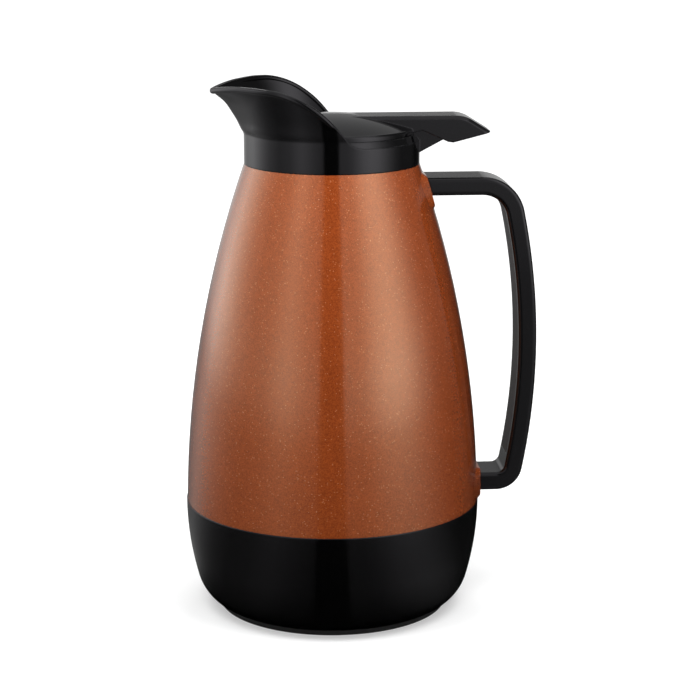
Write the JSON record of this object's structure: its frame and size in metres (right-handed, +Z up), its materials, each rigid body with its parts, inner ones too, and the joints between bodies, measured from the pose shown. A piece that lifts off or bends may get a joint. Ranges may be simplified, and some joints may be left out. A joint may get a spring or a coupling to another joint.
{
  "type": "thermal carafe",
  "caption": "Insulated carafe with a tapered double-walled body, a raised pouring spout, a domed lid with a long thumb lever and a slim bow handle.",
  "frame": {"origin": "on the body axis in the plane of the foot ring's tread, which is the table", "axes": "+Z up along the body axis, +X towards the handle, -X towards the spout"},
  "size_m": [0.1718, 0.1446, 0.2589],
  "materials": {
    "copper_plastic": "metallic copper moulded plastic with fine flakes",
    "black_plastic": "gloss black moulded plastic",
    "cover_plastic": "satin black moulded plastic",
    "liner_plastic": "smooth dark food-grade plastic",
    "silicone": "soft translucent grey silicone",
    "foot_rubber": "matte black rubber",
    "foam": "rigid cellular foam",
    "steel": "stainless steel"
  },
  "bodies": {
    "carafe": {"outer_shell": "copper_plastic", "base_cup": "black_plastic", "foot_ring": "foot_rubber", "foam_plug": "black_plastic", "inner_liner": "liner_plastic", "insulation_foam": "foam", "liner_gasket": "silicone", "neck_seal": "silicone", "spout_collar": "black_plastic", "handle_shell": "black_plastic", "handle_cover": "cover_plastic", "handle_screws": "steel", "upper_backing_plate": "steel", "lower_backing_plate": "steel", "lid_spring": "steel"},
    "lid": {"lid_cover": "black_plastic", "lid_plate": "liner_plastic", "lid_seal": "silicone", "lid_insulation": "foam", "lid_screws": "steel", "hinge_pin": "steel", "pin_cap": "black_plastic"}
  },
  "joints": [
    {"name": "lid_hinge", "type": "hinge", "parent": "carafe", "child": "lid", "pos_m": [0.041, 0, 0.2375], "axis": [0, 1, 0], "range_deg": [0, 35], "stiffness_Nm_per_rad": 0.03, "springref_deg": -20.05, "deforming": ["lid_spring"]}
  ]
}
